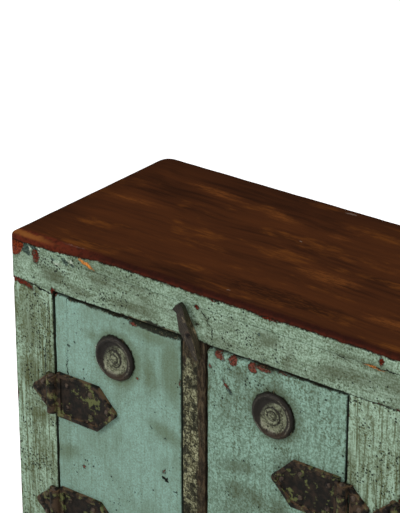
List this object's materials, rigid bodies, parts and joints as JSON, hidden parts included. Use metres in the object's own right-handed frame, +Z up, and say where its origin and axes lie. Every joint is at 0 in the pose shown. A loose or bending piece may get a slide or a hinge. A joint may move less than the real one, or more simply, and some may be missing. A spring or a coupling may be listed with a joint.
{
  "type": "kang cabinet",
  "caption": "Low, long wooden cupboard with flush strap-hinged doors, turned bosses, turn-button catches and a plain board top.",
  "frame": {"origin": "on the floor, under the middle of the bounding box, its front fittings included", "axes": "+Z up, doors face -Y, +X to the right of someone facing the doors"},
  "size_m": [1.12, 0.338, 0.55],
  "materials": {
    "stained_top": "dark reddish-brown stain, semi-gloss, worn",
    "frame_paint": "worn grey-green paint with pits, dirt and red undercoat",
    "door_paint": "worn turquoise-green paint with red chips",
    "worn_stile": "paint worn to dark wood by handling",
    "panel_wood": "thin worn grey-green paint over boards",
    "bare_wood": "unpainted, aged",
    "boss_wood": "dark worn rim with a cream-green dish",
    "catch_wood": "dark, polished by hands",
    "hinge_iron": "blackened forged iron with brown rust on its edges",
    "nail_iron": "blackened iron"
  },
  "bodies": {
    "carcass": {"back_bottom_rail": "frame_paint", "back_centre_post": "frame_paint", "back_floor_board": "bare_wood", "back_left_post": "frame_paint", "back_right_post": "frame_paint", "back_top_rail": "frame_paint", "catch_nails": "nail_iron", "front_bottom_rail": "frame_paint", "front_centre_post": "frame_paint", "front_floor_board": "bare_wood", "front_left_post": "frame_paint", "front_right_post": "frame_paint", "front_top_rail": "frame_paint", "hinge_pins": "nail_iron", "joint_pegs": "bare_wood", "left_back_panel": "panel_wood", "left_bottom_rail": "frame_paint", "left_door_stile": "worn_stile", "left_floor_bearer": "bare_wood", "left_side_panel": "panel_wood", "left_top_rail": "frame_paint", "post_hinge_nails": "nail_iron", "post_hinge_straps_1": "hinge_iron", "post_hinge_straps_2": "hinge_iron", "post_hinge_straps_3": "hinge_iron", "post_hinge_straps_4": "hinge_iron", "right_back_panel": "panel_wood", "right_bottom_rail": "frame_paint", "right_door_stile": "worn_stile", "right_floor_bearer": "bare_wood", "right_side_panel": "panel_wood", "right_top_rail": "frame_paint", "top_battens": "bare_wood", "top_board": "stained_top"},
    "door_1": {"door_1_battens": "bare_wood", "door_1_board": "door_paint", "door_1_boss": "boss_wood", "door_1_edge_strip": "door_paint", "door_1_hinge_nails": "nail_iron", "door_1_hinge_straps": "hinge_iron"},
    "door_2": {"door_2_battens": "bare_wood", "door_2_board": "door_paint", "door_2_boss": "boss_wood", "door_2_edge_strip": "door_paint", "door_2_hinge_nails": "nail_iron", "door_2_hinge_straps": "hinge_iron"},
    "door_3": {"door_3_battens": "bare_wood", "door_3_board": "door_paint", "door_3_boss": "boss_wood", "door_3_edge_strip": "door_paint", "door_3_hinge_nails": "nail_iron", "door_3_hinge_straps": "hinge_iron"},
    "door_4": {"door_4_battens": "bare_wood", "door_4_board": "door_paint", "door_4_boss": "boss_wood", "door_4_edge_strip": "door_paint", "door_4_hinge_nails": "nail_iron", "door_4_hinge_straps": "hinge_iron"},
    "left_catch": {"left_catch": "catch_wood"},
    "right_catch": {"right_catch": "catch_wood"}
  },
  "joints": [
    {"name": "door_1_hinge", "type": "hinge", "parent": "carcass", "child": "door_1", "pos_m": [-0.493, -0.1583, 0.282], "axis": [0, 0, -1], "range_deg": [0, 165]},
    {"name": "door_2_hinge", "type": "hinge", "parent": "carcass", "child": "door_2", "pos_m": [-0.0375, -0.1583, 0.282], "axis": [0, 0, 1], "range_deg": [0, 95]},
    {"name": "door_3_hinge", "type": "hinge", "parent": "carcass", "child": "door_3", "pos_m": [0.0375, -0.1583, 0.282], "axis": [0, 0, -1], "range_deg": [0, 95]},
    {"name": "door_4_hinge", "type": "hinge", "parent": "carcass", "child": "door_4", "pos_m": [0.493, -0.1583, 0.282], "axis": [0, 0, 1], "range_deg": [0, 165]},
    {"name": "left_catch_turn", "type": "hinge", "parent": "carcass", "child": "left_catch", "pos_m": [-0.26703, -0.156, 0.4925], "axis": [0, 1, 0], "continuous": true},
    {"name": "right_catch_turn", "type": "hinge", "parent": "carcass", "child": "right_catch", "pos_m": [0.26703, -0.156, 0.4925], "axis": [0, 1, 0], "continuous": true}
  ]
}
